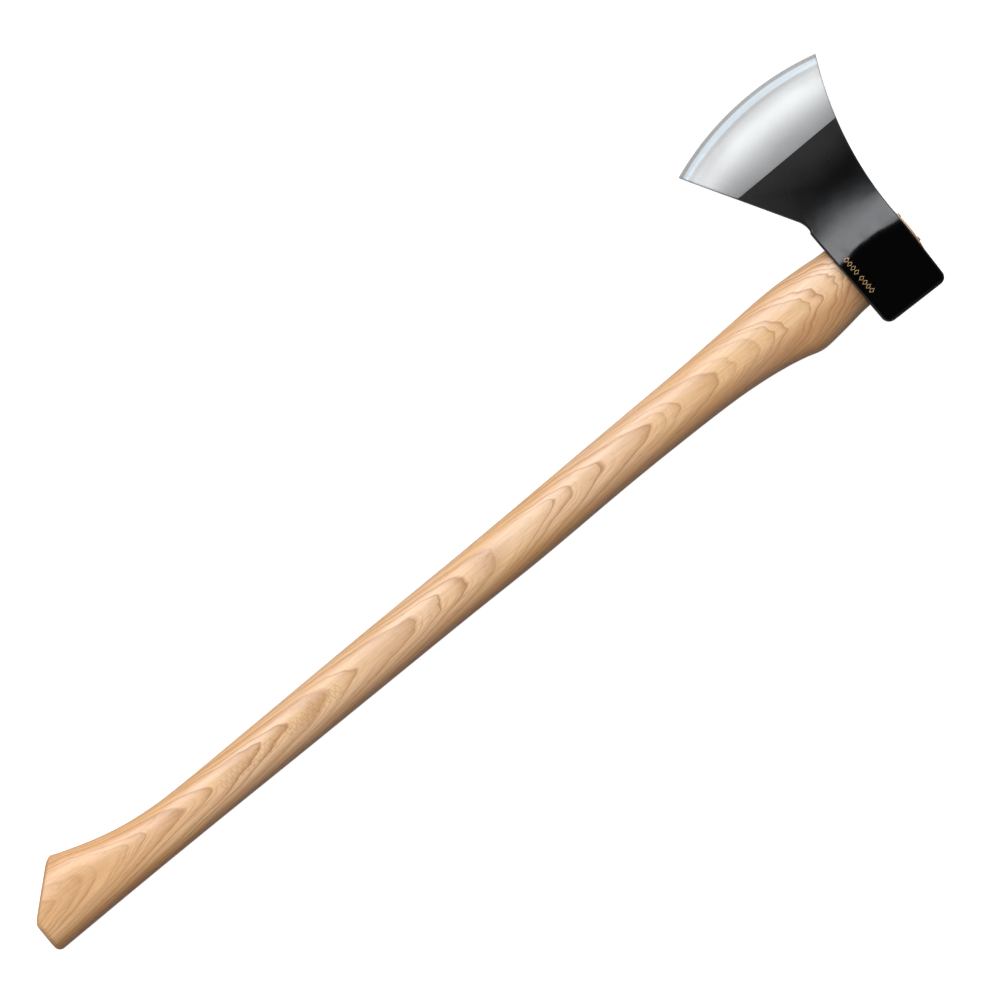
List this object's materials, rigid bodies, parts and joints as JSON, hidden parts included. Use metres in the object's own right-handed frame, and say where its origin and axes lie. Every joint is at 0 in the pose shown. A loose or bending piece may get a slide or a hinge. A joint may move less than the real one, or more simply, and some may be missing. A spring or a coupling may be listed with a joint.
{
  "type": "splitting maul",
  "caption": "Splitting maul with a heavy wedge-shaped steel head, flat striking poll and flared ground bit, wedged onto a curved hickory handle with a raked knob at the butt.",
  "frame": {"origin": "middle of the box's footprint, on the plane of the lower cheek, with both cheeks level", "axes": "+X along the handle towards the head, +Y from the poll towards the cutting edge, +Z square to the cheeks"},
  "size_m": [0.8398, 0.1951, 0.044],
  "materials": {
    "enamelled_steel": "gloss black enamel on forged steel, bare along the ground bit",
    "ground_steel": "satin ground steel of the bit",
    "gilt_mark": "thin gilt print",
    "hickory": "hickory with open grain under a satin varnish",
    "wedge_wood": "sawn hardwood",
    "wedge_steel": "dull cut steel"
  },
  "bodies": {
    "root": {"head": "enamelled_steel", "handle": "hickory", "wood_wedge": "wedge_wood", "steel_wedge_front": "wedge_steel", "steel_wedge_rear": "wedge_steel"}
  },
  "joints": []
}
